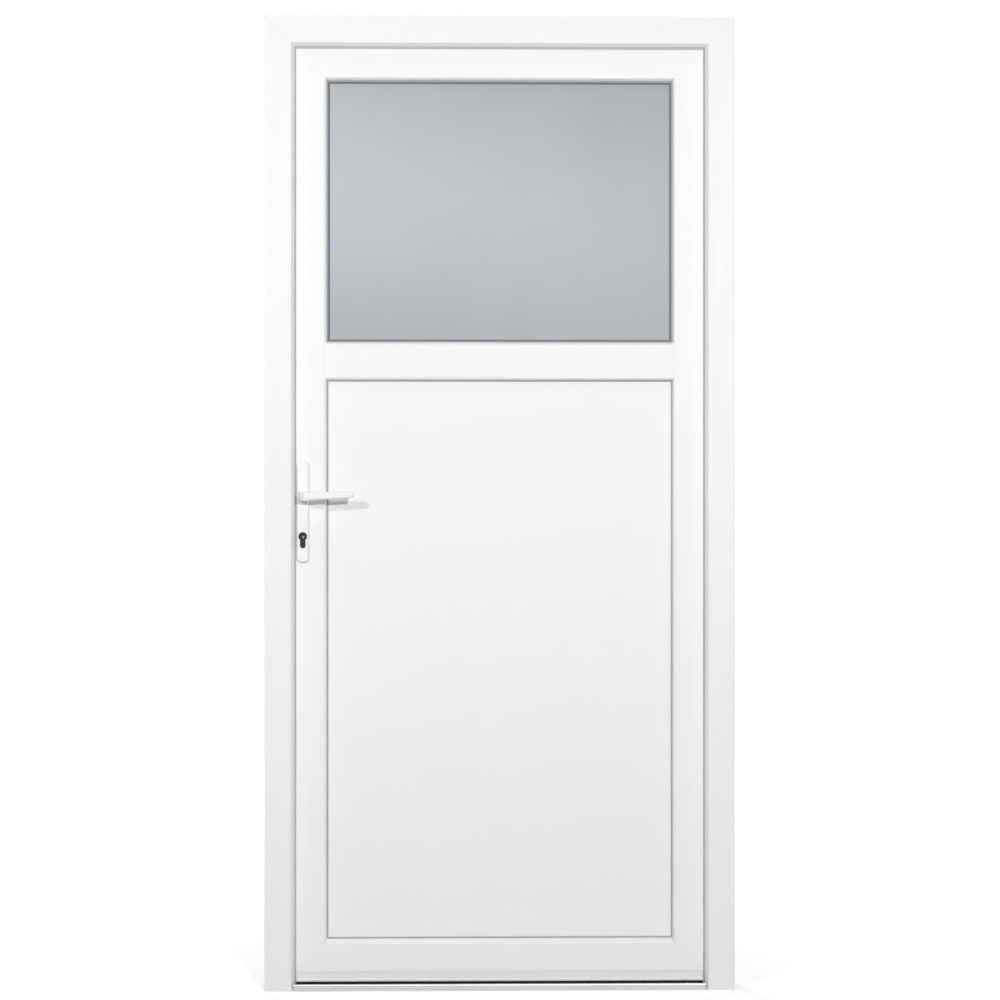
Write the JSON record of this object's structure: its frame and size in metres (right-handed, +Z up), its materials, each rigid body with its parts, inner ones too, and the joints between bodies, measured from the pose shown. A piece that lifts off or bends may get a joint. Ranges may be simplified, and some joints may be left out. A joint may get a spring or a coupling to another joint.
{
  "type": "half-glazed exterior door",
  "caption": "White half-glazed side door: plastic frame on a low threshold, inward-opening leaf with frosted glass over a flat panel, lever handles.",
  "frame": {"origin": "on the floor, under the middle of the threshold and at the middle of the frame's depth", "axes": "+X to the right as seen from outside, +Y inwards, +Z up"},
  "size_m": [1, 0.18, 2.07],
  "materials": {
    "white_profile": "smooth white plastic profile",
    "white_panel": "smooth white flat panel",
    "white_coated_metal": "white coated metal",
    "seal_rubber": "light grey rubber",
    "threshold_aluminium": "satin anodised",
    "spacer_aluminium": "mill finish",
    "black_tread": "ribbed black",
    "black_brush": "black pile",
    "frosted_glass": "satin frosted",
    "clear_glass": "clear",
    "dark_nickel": "dark nickel",
    "zinc_steel": "zinc plated"
  },
  "bodies": {
    "frame": {"frame_lock_jamb": "white_profile", "frame_hinge_jamb": "white_profile", "frame_head": "white_profile", "frame_seal": "seal_rubber", "threshold_base": "threshold_aluminium", "threshold_tread": "black_tread", "strike_plate": "zinc_steel", "bolt_keeps": "zinc_steel", "hinge_frame_half_lower": "white_coated_metal", "hinge_frame_half_middle": "white_coated_metal", "hinge_frame_half_upper": "white_coated_metal"},
    "leaf": {"lock_stile": "white_profile", "hinge_stile": "white_profile", "top_rail": "white_profile", "mid_rail": "white_profile", "bottom_rail": "white_profile", "leaf_seal": "seal_rubber", "seal_carrier": "white_profile", "bottom_brush": "black_brush", "glass_outer_pane": "frosted_glass", "glass_inner_pane": "clear_glass", "glass_spacer": "spacer_aluminium", "lower_panel": "white_panel", "lock_cylinder": "dark_nickel", "lock_faceplate": "zinc_steel", "latch_bolt": "zinc_steel", "dead_bolt": "zinc_steel", "outer_handle_plate": "white_coated_metal", "inner_handle_plate": "white_coated_metal", "hinge_leaf_half_lower": "white_coated_metal", "hinge_leaf_half_middle": "white_coated_metal", "hinge_leaf_half_upper": "white_coated_metal", "glass_outer_gasket": "seal_rubber", "glass_inner_gasket": "seal_rubber", "glass_bead_left": "white_profile", "glass_bead_top": "white_profile", "glass_bead_right": "white_profile", "glass_bead_bottom": "white_profile", "panel_outer_gasket": "seal_rubber", "panel_inner_gasket": "seal_rubber", "panel_bead_left": "white_profile", "panel_bead_top": "white_profile", "panel_bead_right": "white_profile", "panel_bead_bottom": "white_profile"},
    "lever": {"outer_lever": "white_coated_metal", "inner_lever": "white_coated_metal", "lever_spindle": "zinc_steel"}
  },
  "joints": [
    {"name": "door_swing", "type": "hinge", "parent": "frame", "child": "leaf", "pos_m": [0.478, 0.066, 0], "axis": [0, 0, -1], "range_deg": [0, 110]},
    {"name": "lever_turn", "type": "hinge", "parent": "leaf", "child": "lever", "pos_m": [-0.4195, 0, 1.05], "axis": [0, 1, 0], "range_deg": [0, 40], "stiffness_Nm_per_rad": 1.2, "springref_deg": -28.65}
  ]
}
